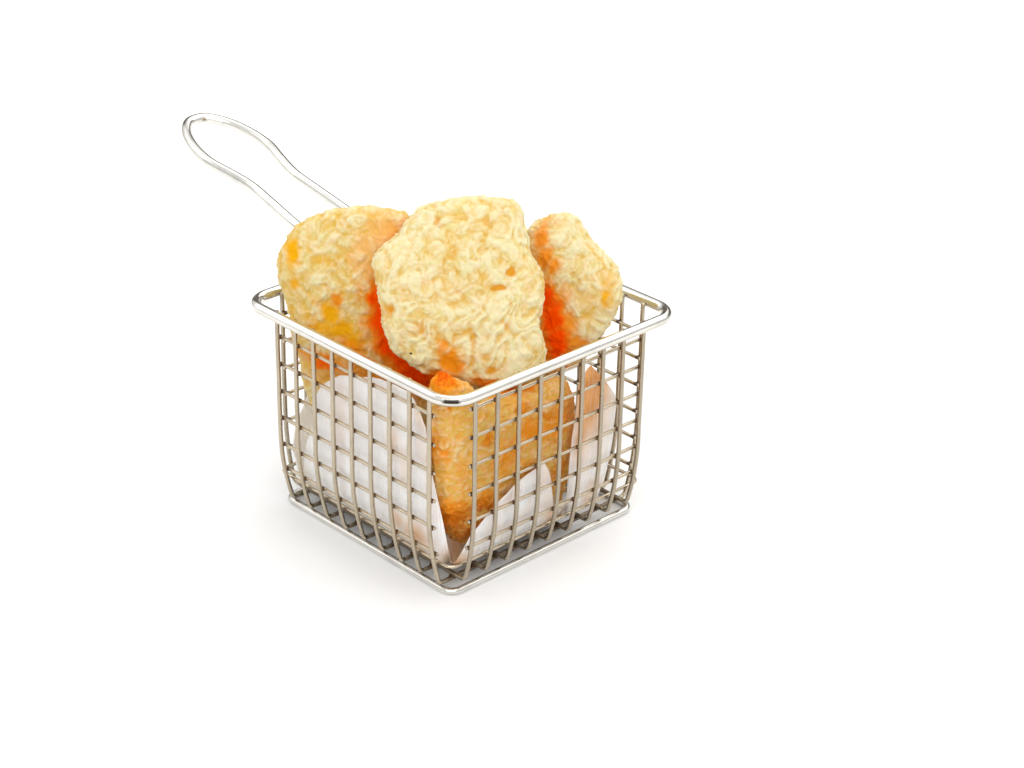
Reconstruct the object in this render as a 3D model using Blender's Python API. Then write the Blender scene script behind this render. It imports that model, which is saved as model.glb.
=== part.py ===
"""Yam tempura served in a small square wire basket with a paper liner.

Metres, +Z up. The basket stands on z = 0, its handle points along +Y and it is symmetric about x = 0.
Every welded wire is an object of its own. Wires that touch keep a small gap to each other.
"""
import math

import bmesh
import bpy
from mathutils import Matrix, Vector, noise

MM = 0.001
GAP = 0.3 * MM

# Mesh of the basket
PITCH = 9.2 * MM
WIRES_EACH_WAY = 9
ROWS = 6
ROW_PITCH = 9.83 * MM
TOP_ROW_LEFT = 64.1 * MM
TOP_ROW_FRONT = 66.9 * MM
BAR_OVERHANG = 2.2 * MM
UPRIGHT_WIRE = 1.5 * MM
BAR_WIRE = 1.2 * MM

# Rim, foot and base ring
RIM_WIRE = 3.6 * MM
RIM_HALF = 49.3 * MM
RIM_CORNER = 8.0 * MM
RIM_HEIGHT = 73.5 * MM
FOOT_WIRE = 2.3 * MM
FOOT_HALF = 41.4 * MM
FOOT_CORNER = 4.0 * MM
BASE_RING_HEIGHT = 11.6 * MM
BASE_RING_CORNER = 3.0 * MM

# Upright wires: straight walls that bow inwards low down and turn under the basket
WALL_HALF = RIM_HALF - (RIM_WIRE + UPRIGHT_WIRE) / 2 - GAP
UPRIGHT_TOP = 74.4 * MM
BOW_START = 30.9 * MM
BOW_RADIUS = 86.8 * MM
TURN_RADIUS = 2.5 * MM
BAR_INSET = (UPRIGHT_WIRE + BAR_WIRE) / 2 + GAP

# Handle: half its width at given distances from the middle of the basket
HANDLE_WIRE = 3.6 * MM
HANDLE_SLOPE = math.radians(12.9)
HANDLE_OVER_RIM = 4.05 * MM
HANDLE_OUTLINE = ((10.9, 60.0), (10.7, 72.0), (9.8, 86.0), (9.4, 97.0), (11.1, 107.0), (13.0, 116.0),
                  (12.2, 125.5), (9.4, 134.0), (4.6, 140.2), (0.0, 141.6))
HANDLE_HOOK_RADIUS = 4.0 * MM
HANDLE_HOOK_END = 58.0 * MM

# The basket's middle lies behind the origin, which is in the middle of the whole outline
HANDLE_END = HANDLE_OUTLINE[-1][1] * MM + HANDLE_WIRE / 2
BASKET_Y = (RIM_HALF + RIM_WIRE / 2 - HANDLE_END) / 2

# Paper liner: a sheet pressed into the basket
PAPER_THICK = 0.4 * MM
PAPER_FLOOR = 6.6 * MM
PAPER_HALF = WALL_HALF - BAR_INSET - BAR_WIRE / 2 - GAP - PAPER_THICK / 2
PAPER_SQUARENESS = 9.0
PAPER_FILLET = 5.0 * MM
PAPER_RIPPLE = 1.3 * MM
PAPER_RIPPLE_REST = 0.4
PAPER_RIPPLE_GROWTH = 0.3
PAPER_RIPPLE_TURN = 9.1
PAPER_RIPPLE_RISE = 26.0 * MM
PAPER_LIFT = 1.0 * MM
PAPER_LIFT_TURN = 11.1
PAPER_LIFT_SHARE = 0.37
# Where rings of points lie: on the floor as shares of its reach, on the walls as shares of the rise
PAPER_FLOOR_SHARES = (0.45, 0.8, 1.0)
PAPER_WALL_SHARES = (0.1, 0.32, 0.54, 0.77, 1.0)
# Round the basket: bearing at the floor and at the edge in degrees, and how high the edge is
PAPER_EDGE = ((0, 0, 44), (12, 12, 50), (24, 24, 40), (36, 36, 22), (48, 48, 34), (60, 60, 44), (72, 72, 47),
              (84, 84, 44), (96, 96, 42), (108, 108, 46), (120, 120, 43), (132, 132, 24), (143, 143, 14),
              (147, 146, 23), (151, 151, 35), (154, 153, 47), (158, 157, 53), (167, 166, 59), (174, 174, 61.5),
              (181, 181, 63), (188, 188, 64.5), (195, 195, 65.5), (203, 203, 66.3), (208, 208, 66),
              (211, 211, 64.5), (213.5, 213.5, 61), (216, 216, 57), (218.5, 217.5, 45), (221, 219.8, 36),
              (223, 222.2, 26), (225, 225, 13.5), (231, 231, 20), (238, 238, 26), (244, 244, 29.5),
              (250, 250, 32), (258, 258, 34), (265.5, 265.5, 35.5), (269, 268.5, 31), (271.5, 271.5, 21),
              (274.5, 274.5, 11), (280, 280, 10.5), (284.5, 283.5, 11), (287.5, 286.5, 60), (289.5, 291, 64),
              (292, 297.5, 57), (294.5, 304.5, 47), (297, 300, 12), (343, 343, 10.5), (347.5, 347.5, 14),
              (353, 353, 26))
# Where the sheet stops short of the right-hand corner: bearing and reach along the floor
PAPER_SHORT = ((303, 35), (313, 33), (324, 34), (334, 37))

WIRE_SIDES = 6
HEAVY_SIDES = 8


def new_material(name, colour, roughness, metallic):
    """A Principled material with one colour."""
    material = bpy.data.materials.new(name)
    material.use_nodes = True
    shader = material.node_tree.nodes["Principled BSDF"]
    shader.inputs["Base Color"].default_value = (*colour, 1.0)
    shader.inputs["Roughness"].default_value = roughness
    shader.inputs["Metallic"].default_value = metallic
    return material


def in_basket(x, y, z):
    """A point given from the middle of the basket, in the part's frame."""
    return Vector((x, y + BASKET_Y, z))


def bow(height):
    """How far the wall stands in from its upper plane at this height."""
    drop = max(0.0, BOW_START - height)
    return BOW_RADIUS - math.sqrt(BOW_RADIUS ** 2 - drop ** 2)


def wire(name, points, diameter, sides, material, closed=False, tilt=0.0):
    """A round wire along a run of points."""
    curve = bpy.data.curves.new(name, "CURVE")
    curve.dimensions = "3D"
    curve.bevel_depth = diameter / 2
    curve.bevel_resolution = sides // 2 - 2
    curve.use_fill_caps = not closed
    curve.materials.append(material)
    spline = curve.splines.new("POLY")
    spline.points.add(len(points) - 1)
    for knot, point in zip(spline.points, points):
        knot.co = (*point, 1.0)
        knot.tilt = tilt
    spline.use_cyclic_u = closed
    spline.use_smooth = True
    item = bpy.data.objects.new(name, curve)
    bpy.context.scene.collection.objects.link(item)
    return item


def arc(centre_u, centre_v, radius, start, end, steps):
    """Points on an arc, angles in degrees."""
    points = []
    for step in range(steps + 1):
        angle = math.radians(start + (end - start) * step / steps)
        points.append((centre_u + radius * math.cos(angle), centre_v + radius * math.sin(angle)))
    return points


def square_loop(half, corner, height, steps):
    """A rounded square round the basket at one height."""
    inner = half - corner
    corners = ((inner, inner, 0), (-inner, inner, 90), (-inner, -inner, 180), (inner, -inner, 270))
    points = []
    for x, y, start in corners:
        points += [in_basket(u, v, height) for u, v in arc(x, y, corner, start, start + 90, steps)]
    return points


def upright_profile(floor):
    """Half of an upright wire, from its top down to the run under the basket: distance out, height."""
    turn_angle = math.asin((BOW_START - floor - TURN_RADIUS) / BOW_RADIUS)
    for _ in range(4):
        turn_height = floor + TURN_RADIUS * (1 - math.sin(turn_angle))
        turn_angle = math.asin((BOW_START - turn_height) / BOW_RADIUS)
    profile = [(WALL_HALF, UPRIGHT_TOP), (WALL_HALF, BOW_START)]
    for share in (0.5, 1.0):
        height = BOW_START + (turn_height - BOW_START) * share
        profile.append((WALL_HALF - bow(height), height))
    centre_out = profile[-1][0] - TURN_RADIUS * math.cos(turn_angle)
    centre_height = floor + TURN_RADIUS
    turn = arc(centre_out, centre_height, TURN_RADIUS, -math.degrees(turn_angle), -90, 3)
    return profile + turn[1:]


def upright_wires(material):
    """The wires that run down one wall, under the basket and up the opposite wall, both ways."""
    lower = FOOT_WIRE + GAP + UPRIGHT_WIRE / 2
    upper = lower + UPRIGHT_WIRE + GAP
    middle = (WIRES_EACH_WAY - 1) / 2
    for direction, floor in (("across", lower), ("along", upper)):
        half = upright_profile(floor)
        run = [(-out, height) for out, height in half] + [(out, height) for out, height in reversed(half)]
        for index in range(WIRES_EACH_WAY):
            side = (index - middle) * PITCH
            if direction == "across":
                points = [in_basket(out, side, height) for out, height in run]
            else:
                points = [in_basket(side, out, height) for out, height in run]
            wire(f"wire_{direction}_{index + 1}", points, UPRIGHT_WIRE, WIRE_SIDES, material)


def wall_bars(material):
    """The level bars welded to the inside of the four walls."""
    reach = PITCH * (WIRES_EACH_WAY - 1) / 2 + BAR_OVERHANG
    for row in range(ROWS):
        for wall, top, sign in (("left", TOP_ROW_LEFT, -1), ("right", TOP_ROW_LEFT, 1),
                                ("front", TOP_ROW_FRONT, -1), ("back", TOP_ROW_FRONT, 1)):
            height = top - row * ROW_PITCH
            out = sign * (WALL_HALF - bow(height) - BAR_INSET)
            if wall in ("left", "right"):
                ends = [in_basket(out, side, height) for side in (-reach, reach)]
            else:
                ends = [in_basket(side, out, height) for side in (-reach, reach)]
            wire(f"bar_{wall}_{row + 1}", ends, BAR_WIRE, WIRE_SIDES, material)


def basket_rings(material):
    """The heavy rim, the ring round the base of the walls and the foot that the basket stands on."""
    wire("basket_rim", square_loop(RIM_HALF, RIM_CORNER, RIM_HEIGHT, 5), RIM_WIRE, HEAVY_SIDES, material, True)
    ring_half = WALL_HALF - bow(BASE_RING_HEIGHT) - BAR_INSET
    ring = square_loop(ring_half, BASE_RING_CORNER, BASE_RING_HEIGHT, 3)
    wire("basket_base_ring", ring, BAR_WIRE, WIRE_SIDES, material, True)
    flat = math.pi / HEAVY_SIDES
    foot = square_loop(FOOT_HALF, FOOT_CORNER, FOOT_WIRE / 2 * math.cos(flat), 4)
    wire("basket_foot", foot, FOOT_WIRE, HEAVY_SIDES, material, True, flat)


def smooth_run(points, steps):
    """Points along a smooth curve through the given ones."""
    padded = [2 * points[0] - points[1], *points, 2 * points[-1] - points[-2]]
    run = []
    for before, start, end, after in zip(padded, padded[1:], padded[2:], padded[3:]):
        for step in range(steps):
            t = step / steps
            run.append(0.5 * (2 * start + (end - before) * t + (2 * before - 5 * start + 4 * end - after) * t ** 2
                              + (3 * start - before - 3 * end + after) * t ** 3))
    return [*run, points[-1]]


def basket_handle(material):
    """One loop of wire: it hooks over the rim, runs out and up with a waist, and comes back."""
    rise = math.tan(HANDLE_SLOPE)

    def level(out):
        return RIM_HEIGHT + HANDLE_OVER_RIM / math.cos(HANDLE_SLOPE) + rise * (out - RIM_HALF)

    side = [Vector((half * MM, out * MM, level(out * MM))) for half, out in HANDLE_OUTLINE]
    far = [Vector((-point.x, point.y, point.z)) for point in reversed(side[:-1])]
    loop = smooth_run(side + far, 2)
    hook_out = WALL_HALF - BAR_INSET - (BAR_WIRE + HANDLE_WIRE) / 2 - GAP
    centre_out = hook_out + HANDLE_HOOK_RADIUS
    join = centre_out - HANDLE_HOOK_RADIUS * math.sin(HANDLE_SLOPE)
    centre_height = level(join) - HANDLE_HOOK_RADIUS * math.cos(HANDLE_SLOPE)
    turn = arc(centre_out, centre_height, HANDLE_HOOK_RADIUS, 180, 90 + math.degrees(HANDLE_SLOPE), 4)
    hook = [(hook_out, HANDLE_HOOK_END), *turn]
    half = HANDLE_OUTLINE[0][0] * MM
    start = [Vector((half, out, height)) for out, height in hook]
    end = [Vector((-half, out, height)) for out, height in reversed(hook)]
    points = [in_basket(*point) for point in start + loop + end]
    wire("basket_handle", points, HANDLE_WIRE, HEAVY_SIDES, material)


PAPER_FLOOR_REACH = PAPER_HALF - bow(PAPER_FLOOR) - PAPER_FILLET


def paper_stretch(bearing):
    """How much further the rounded square of the sheet reaches here than at the middle of a side."""
    angle = math.radians(bearing)
    spread = abs(math.cos(angle)) ** PAPER_SQUARENESS + abs(math.sin(angle)) ** PAPER_SQUARENESS
    return spread ** (-1 / PAPER_SQUARENESS)


def paper_at(bearing, out, height):
    """A point of the sheet at a bearing, as far out as it would be at the middle of a side."""
    angle = math.radians(bearing)
    reach = out * paper_stretch(bearing)
    return in_basket(reach * math.cos(angle), reach * math.sin(angle), height)


def paper_on_floor(bearing, share):
    """A point of the floor at a share of its reach, lifted a little here and there."""
    lift = abs(noise.noise(Vector((bearing / PAPER_LIFT_TURN, share / PAPER_LIFT_SHARE, 5.3))))
    return paper_at(bearing, PAPER_FLOOR_REACH * share, PAPER_FLOOR + PAPER_LIFT * lift)


def paper_on_wall(bearing, height, share):
    """A point of the walls, which ripple more towards their edge."""
    wave = noise.noise(Vector((bearing / PAPER_RIPPLE_TURN, height / PAPER_RIPPLE_RISE, 3.1)))
    ripple = PAPER_RIPPLE * max(0.0, PAPER_RIPPLE_REST + wave + PAPER_RIPPLE_GROWTH * share)
    return paper_at(bearing, PAPER_HALF - bow(height) - ripple, height)


def paper_columns():
    """For each bearing, the points of the sheet from its middle outwards."""
    columns = []
    for foot, tip, top in PAPER_EDGE:
        column = [paper_on_floor(foot, share) for share in PAPER_FLOOR_SHARES]
        low = PAPER_FLOOR + min(0.35 * PAPER_FILLET, 0.2 * (top * MM - PAPER_FLOOR))
        for share in PAPER_WALL_SHARES:
            height = low + (top * MM - low) * share
            column.append(paper_on_wall(foot + (tip - foot) * share, height, share))
        columns.append((foot, column))
    steps = len(PAPER_FLOOR_SHARES) + len(PAPER_WALL_SHARES) - 1
    start = PAPER_FLOOR_SHARES[0]
    for bearing, reach in PAPER_SHORT:
        full = reach * MM / (PAPER_FLOOR_REACH * paper_stretch(bearing))
        column = [paper_on_floor(bearing, start + (full - start) * step / steps) for step in range(steps + 1)]
        columns.append((bearing, column))
    return [column for _, column in sorted(columns, key=lambda pair: pair[0])]


def paper_liner(material):
    """The sheet as one thin solid, both of its faces split alike."""
    mesh = bmesh.new()
    middle = mesh.verts.new(in_basket(0, 0, PAPER_FLOOR + PAPER_LIFT))
    columns = [[mesh.verts.new(point) for point in column] for column in paper_columns()]
    for column, beside in zip(columns, columns[1:] + columns[:1]):
        mesh.faces.new((middle, column[0], beside[0]))
        for low, high, beside_low, beside_high in zip(column, column[1:], beside, beside[1:]):
            mesh.faces.new((low, high, beside_high, beside_low))
    bmesh.ops.triangulate(mesh, faces=mesh.faces[:])
    item = mesh_object("paper_liner", mesh, material)
    solid = item.modifiers.new("thickness", "SOLIDIFY")
    solid.thickness = PAPER_THICK
    solid.offset = 0.0
    return item


def mesh_object(name, mesh, material):
    """An object from a bmesh."""
    data = bpy.data.meshes.new(name)
    mesh.to_mesh(data)
    mesh.free()
    data.materials.append(material)
    data.shade_smooth()
    item = bpy.data.objects.new(name, data)
    bpy.context.scene.collection.objects.link(item)
    return item


def grid_box(across, up, through):
    """A box of quads, two units each way."""
    mesh = bmesh.new()
    bmesh.ops.create_cube(mesh, size=2.0)
    for axis, parts in ((0, across), (1, up), (2, through)):
        edges = [edge for edge in mesh.edges
                 if abs(edge.verts[0].co[axis] - edge.verts[1].co[axis]) > 1.0]
        bmesh.ops.subdivide_edges(mesh, edges=edges, cuts=parts - 1, use_grid_fill=True)
    return mesh


def outline_reach(outline, angle):
    """How far an outline lies from its middle in a direction."""
    knots = sorted((math.atan2(v, u), math.hypot(u, v)) for u, v in outline)
    turn = 2 * math.pi
    knots = [(knots[-2][0] - turn, knots[-2][1]), (knots[-1][0] - turn, knots[-1][1]), *knots,
             (knots[0][0] + turn, knots[0][1]), (knots[1][0] + turn, knots[1][1])]
    for before, start, end, after in zip(knots, knots[1:], knots[2:], knots[3:]):
        if start[0] <= angle <= end[0]:
            t = (angle - start[0]) / (end[0] - start[0])
            slope_in = (end[1] - before[1]) / (end[0] - before[0]) * (end[0] - start[0])
            slope_out = (after[1] - start[1]) / (after[0] - start[0]) * (end[0] - start[0])
            return ((2 * t ** 3 - 3 * t ** 2 + 1) * start[1] + (t ** 3 - 2 * t ** 2 + t) * slope_in
                    + (3 * t ** 2 - 2 * t ** 3) * end[1] + (t ** 3 - t ** 2) * slope_out) * MM
    return knots[0][1] * MM


def rounded(point, outline, thick):
    """Turns a point on a box of two units into one on a slab with rounded edges and its own outline."""
    x, y, z = point
    share = max(abs(x), abs(y))
    angle = math.atan2(y, x)
    shrink = (share ** SLICE_EDGE + abs(z) ** SLICE_EDGE) ** (-1 / SLICE_EDGE)
    reach = outline_reach(outline, angle) * share
    return Vector((reach * math.cos(angle), reach * math.sin(angle), z * thick / 2)) * shrink


def crag(point, seed, size, height):
    """Lumps of batter: broad swells with sharper crests over them."""
    place = point / size + Vector((seed, seed * 0.37, -seed))
    swell = noise.noise(place * 0.6)
    crest = 1 - 2 * abs(noise.noise(place * 1.25 + Vector((7.1, 0, 2.3))))
    return height * (0.6 * swell + 0.55 * crest)


# Each battered slice: its outline in its own plane, thickness, the place of its middle from the middle of
# the basket, the way it faces, how far it leans back, a seed for its crags, how finely it is split, its shade
SLICES = {
    "tempura_middle": {
        "outline": ((27, 0), (26.5, 5), (22.8, 11), (21, 20), (18.3, 26.8), (12.5, 28.5), (0, 27.5), (-12.7, 25),
                    (-19.5, 17), (-26.5, 9.7), (-26.5, 4), (-24.8, -6), (-23, -15.8), (-14.8, -23.8),
                    (-7, -27.8), (2, -30.8), (12, -30.6), (20, -28.8), (26.5, -23.3), (24.3, -12.3)),
        "thick": 17, "place": (-11.8, -11.7, 87.6), "facing": -36, "lean": 25, "seed": 3.0,
        "parts": (17, 18, 5), "shade": "pale"},
    "tempura_left": {
        "outline": ((24, 0), (20, 14), (15, 25), (11, 30.5), (5, 30.2), (-1.2, 31), (-10, 29.4), (-20, 26.3),
                    (-27, 18.7), (-29.8, 13.7), (-29.6, 3.4), (-26.8, -6), (-25, -16), (-23, -27),
                    (-19.5, -38), (-15, -50), (-8.5, -61), (0, -66.5), (8.5, -65), (17, -57), (23, -45),
                    (28, -33), (29, -24), (27, -12)),
        "thick": 15, "place": (-21.8, 20.2, 76.0), "facing": -52, "lean": 5, "seed": 11.0,
        "parts": (16, 18, 4), "shade": "pale"},
    "tempura_right": {
        "outline": ((25.5, -3.5), (20.5, 6.2), (14.4, 12.4), (7.8, 19.8), (0.3, 18.9), (-4.6, 16), (-9, 11.5),
                    (-17, 4), (-21, -10), (-22, -24), (-24, -38), (-25, -52), (-24, -63), (-19, -72),
                    (-13, -74.5), (-10, -69), (-8, -61), (-5.5, -51), (-3, -43), (1, -38), (7.5, -33.5),
                    (13.5, -29), (17.5, -23), (20.7, -18.7), (24.4, -9.6)),
        "thick": 15, "place": (22.1, -15.9, 85.4), "facing": -60, "lean": 8, "seed": 19.0,
        "parts": (15, 17, 4), "shade": "pale"},
    "tempura_front": {
        "outline": ((33, 0), (32.5, 10), (29, 18), (18.5, 21), (7, 21), (-4, 23.5), (-14, 30), (-21.5, 38),
                    (-27, 36.5), (-27.6, 20), (-26.5, 6), (-25, -8), (-22.5, -17), (-17, -24.5), (-8, -28),
                    (4, -28.5), (17, -28.5), (27, -27.5), (31.5, -20)),
        "thick": 16, "place": (-14.1, -32.3, 36.7), "facing": 0, "lean": -3, "seed": 27.0,
        "parts": (16, 18, 4), "shade": "deep"},
}
CRAG_SIZE = 11.0 * MM
CRAG_HEIGHT = 1.2 * MM
SLICE_EDGE = 2.7


def slice_frame(spec):
    """The pose of a slice: its own x runs across, y up and z out of its face."""
    facing, lean = math.radians(spec["facing"]), math.radians(spec["lean"])
    across = Vector((math.cos(facing), math.sin(facing), 0))
    out = Vector((math.sin(facing) * math.cos(lean), -math.cos(facing) * math.cos(lean), math.sin(lean)))
    up = out.cross(across)
    frame = Matrix((across, up, out)).transposed().to_4x4()
    frame.translation = in_basket(*(value * MM for value in spec["place"]))
    return frame


def tempura_slice(name, spec, material):
    """One battered slice: a rounded slab with crags all over it."""
    mesh = grid_box(*spec["parts"])
    for vert in mesh.verts:
        vert.co = rounded(vert.co, spec["outline"], spec["thick"] * MM)
    mesh.normal_update()
    shifts = [vert.normal * crag(vert.co, spec["seed"], CRAG_SIZE, CRAG_HEIGHT) for vert in mesh.verts]
    for vert, shift in zip(mesh.verts, shifts):
        vert.co += shift
    bmesh.ops.transform(mesh, matrix=slice_frame(spec), verts=mesh.verts[:])
    return mesh_object(name, mesh, material)


def build():
    """Clears the scene and makes every piece."""
    for item in list(bpy.data.objects):
        bpy.data.objects.remove(item)
    steel = new_material("basket_steel", (0.72, 0.70, 0.67), 0.18, 1.0)
    paper = new_material("liner_paper", (0.92, 0.90, 0.86), 0.7, 0.0)
    crusts = {"pale": new_material("crust_pale", (0.93, 0.76, 0.46), 0.6, 0.0),
              "deep": new_material("crust_deep", (0.88, 0.56, 0.22), 0.6, 0.0)}
    upright_wires(steel)
    wall_bars(steel)
    basket_rings(steel)
    basket_handle(steel)
    paper_liner(paper)
    for name, spec in SLICES.items():
        tempura_slice(name, spec, crusts[spec["shade"]])


build()
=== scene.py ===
"""Looks of battered yam slices served in a small square wire basket, laid out as an add-on.

Metres, +Z up, in the part's own frame: the basket stands on z = 0 and its handle points along +Y.
"""

import math

import bmesh
import bpy
from bpy.props import FloatProperty, FloatVectorProperty, IntProperty, PointerProperty
from mathutils import Matrix, Vector, noise
from mathutils.bvhtree import BVHTree


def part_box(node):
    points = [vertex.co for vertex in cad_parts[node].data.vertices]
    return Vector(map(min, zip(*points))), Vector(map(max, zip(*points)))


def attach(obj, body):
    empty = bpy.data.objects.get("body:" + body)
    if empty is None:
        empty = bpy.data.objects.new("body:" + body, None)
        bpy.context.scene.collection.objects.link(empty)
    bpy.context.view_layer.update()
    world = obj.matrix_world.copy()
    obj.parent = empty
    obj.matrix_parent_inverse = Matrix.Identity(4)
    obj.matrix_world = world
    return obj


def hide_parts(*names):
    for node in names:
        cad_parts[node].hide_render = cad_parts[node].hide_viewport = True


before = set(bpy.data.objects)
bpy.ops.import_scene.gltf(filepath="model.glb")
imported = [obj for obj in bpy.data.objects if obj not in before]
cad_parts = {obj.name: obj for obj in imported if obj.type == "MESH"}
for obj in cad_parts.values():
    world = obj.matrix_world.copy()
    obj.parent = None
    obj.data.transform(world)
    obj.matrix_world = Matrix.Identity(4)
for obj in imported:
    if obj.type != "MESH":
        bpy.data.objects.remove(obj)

bl_info = {
    "name": "Yam tempura in a wire basket",
    "version": (1, 0, 0),
    "blender": (4, 5, 0),
    "location": "View3D > Sidebar > Tempura",
    "description": "Battered yam slices in a small wire serving basket with a paper liner",
    "category": "Object",
}

MM = 0.001
# Without a seed the vector noise starts from the clock and the crags fall elsewhere each time
NOISE_SEED = 1
SLICES = ("tempura_middle", "tempura_left", "tempura_right", "tempura_front")
WALLS = ("left", "right", "front", "back")

# The basket's walls: straight above, bowed inwards low down
BOW_START = 30.9 * MM
BOW_RADIUS = 86.8 * MM
TURN_RADIUS = 2.5 * MM
# The numbers in the names of the wires that run each way and of the bars of a wall
WIRES = range(1, 10)
ROWS = range(1, 7)


def middle_of(node):
    """The middle of a CAD node's box."""
    low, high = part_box(node)
    return (low + high) / 2


RIM_MIDDLE = middle_of("basket_rim")
BASKET_Y = RIM_MIDDLE.y
PITCH = (middle_of(f"wire_along_{WIRES[-1]}").x - middle_of("wire_along_1").x) / (len(WIRES) - 1)


def length_property(name, description, default, least=0.0):
    """A length in metres that a user may change."""
    return FloatProperty(name=name, description=description, default=default, min=least, unit="LENGTH")


def colour_property(name, description, default):
    """A colour that a user may change."""
    return FloatVectorProperty(name=name, description=description, subtype="COLOR", size=3, min=0.0, max=1.0,
                               default=default)


class BasketSettings(bpy.types.PropertyGroup):
    """Sizes and finish of the welded wire basket."""
    upright_wire: length_property("Upright wire", "Thickness of the wires that run up the walls", 1.5 * MM,
                                  0.5 * MM)
    bar_wire: length_property("Bar wire", "Thickness of the level bars", 1.2 * MM, 0.5 * MM)
    rim_wire: length_property("Rim wire", "Thickness of the rim and the handle", 3.6 * MM, MM)
    foot_wire: length_property("Foot wire", "Thickness of the foot ring", 2.3 * MM, MM)
    weld: length_property("Weld", "Width of the spot weld at a crossing", 2.1 * MM, MM)
    wobble: length_property("Wobble", "How far a thin wire strays from its line", 0.14 * MM)
    steel: colour_property("Heavy steel", "Colour of the polished heavy wires", (0.83, 0.81, 0.76))
    drawn: colour_property("Thin steel", "Colour of the thin drawn wires", (0.60, 0.515, 0.39))
    # Tarnish also colours the painted shade under the basket and, darkened, the painted dark reflection on the rim
    tarnish: colour_property("Tarnish", "Colour of the steel burnt by a weld", (0.07, 0.038, 0.02))


class PaperSettings(bpy.types.PropertyGroup):
    """Sizes and finish of the liner."""
    thickness: length_property("Thickness", "Thickness of the sheet", 0.16 * MM, 0.05 * MM)
    ripple: length_property("Ripple", "How far the sheet stands in from the wires", 1.2 * MM)
    columns: IntProperty(name="Columns", description="Parts of the sheet round the basket", default=540, min=90)
    rows: IntProperty(name="Rows", description="Parts of the sheet from its middle to its edge", default=64, min=20)
    white: colour_property("Paper", "Colour of the dry sheet", (0.97, 0.95, 0.92))
    oiled: colour_property("Oiled paper", "Colour where the batter touches the sheet", (0.74, 0.32, 0.08))


class CrustSettings(bpy.types.PropertyGroup):
    """Relief and colours of the fried batter."""
    voxel: length_property("Voxel", "Size of the mesh that carries the relief", 0.46 * MM, 0.3 * MM)
    ridge: length_property("Ridge height", "Height of the lumps and strands of batter", 1.9 * MM)
    spacing: length_property("Ridge spacing", "Distance from one lump of batter to the next", 5.0 * MM, MM)
    cream: colour_property("Cream", "Colour of the ridges", (0.75, 0.67, 0.41))
    gold: colour_property("Gold", "Colour between the ridges", (0.67, 0.42, 0.075))
    # Amber is real browning, and near another slice painted shade too
    amber: colour_property("Amber", "Colour of the browned crust", (0.78, 0.25, 0.008))
    # Painted shade and red bounce light deep between two slices
    ember: colour_property("Ember", "Colour deep between two slices", (0.92, 0.07, 0.0))
    yolk: colour_property("Yolk", "Colour of the oily yellow spots", (0.77, 0.37, 0.0))
    peach: colour_property("Peach", "Colour of thin batter over the yam", (0.76, 0.39, 0.10))
    # Brown is real browning, and in places painted shade: low on the front slice and beside crevices
    brown: colour_property("Brown", "Colour of the darkest crust", (0.46, 0.11, 0.006))
    honey: colour_property("Honey", "Colour of the hollows in the face of a slice", (0.68, 0.29, 0.007))
    olive: colour_property("Olive", "Colour of thick pale batter in places", (0.68, 0.60, 0.24))
    blush: colour_property("Blush", "Colour of thin pale batter in places", (0.80, 0.60, 0.36))
    char: colour_property("Char", "Colour of a burnt speck", (0.05, 0.03, 0.015))


class StageSettings(bpy.types.PropertyGroup):
    """Floor and light."""
    floor: colour_property("Floor", "Colour of the floor", (0.90, 0.90, 0.90))
    sky: FloatProperty(name="Surrounding light", description="Strength of the light from all round", default=0.85,
                       min=0.0)
    key: FloatProperty(name="Key light", description="Power of the large light overhead", default=8.4,
                       min=0.0, unit="POWER")


SETTINGS = (("tempura_basket", BasketSettings), ("tempura_paper", PaperSettings),
            ("tempura_crust", CrustSettings), ("tempura_stage", StageSettings))


class Value:
    """One output of a node. Sums and products of it add Math nodes."""

    def __init__(self, finish, socket):
        self.finish = finish
        self.socket = socket

    def math(self, operation, first, second=None):
        """Adds a Math node."""
        values = {0: first} if second is None else {0: first, 1: second}
        return self.finish.add("ShaderNodeMath", {"operation": operation}, values)

    def __add__(self, other):
        return self.math("ADD", self, other)

    def __sub__(self, other):
        return self.math("SUBTRACT", self, other)

    def __rsub__(self, other):
        return self.math("SUBTRACT", other, self)

    def __mul__(self, other):
        return self.math("MULTIPLY", self, other)

    def __truediv__(self, other):
        return self.math("DIVIDE", self, other)

    __radd__ = __add__
    __rmul__ = __mul__

    def fraction(self):
        return self.math("FRACT", self)

    def size(self):
        return self.math("ABSOLUTE", self)

    def most(self, other):
        return self.math("MAXIMUM", self, other)


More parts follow.
